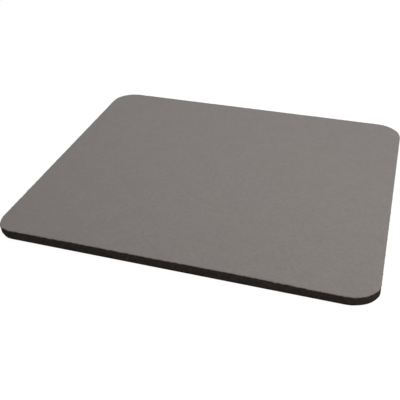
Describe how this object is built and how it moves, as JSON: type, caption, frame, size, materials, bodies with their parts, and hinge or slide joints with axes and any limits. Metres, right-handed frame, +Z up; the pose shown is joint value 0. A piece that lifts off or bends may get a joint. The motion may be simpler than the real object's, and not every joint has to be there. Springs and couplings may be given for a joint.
{
  "type": "mouse pad",
  "caption": "Flat rectangular mouse pad with rounded corners: a knitted cloth face bonded by a thin film to a thick black sponge rubber base.",
  "frame": {"origin": "middle of the underside, on the surface that the pad lies on", "axes": "+X along the wide side to the user's right, +Y away from the user to the back edge, +Z up out of the cloth face"},
  "size_m": [0.229, 0.203, 0.0063],
  "materials": {
    "knit_cloth": "matte",
    "hot_melt_film": "satin",
    "sponge_rubber": "matte"
  },
  "bodies": {
    "root": {"cloth_face": "knit_cloth", "bonding_film": "hot_melt_film", "sponge_base": "sponge_rubber"}
  },
  "joints": []
}
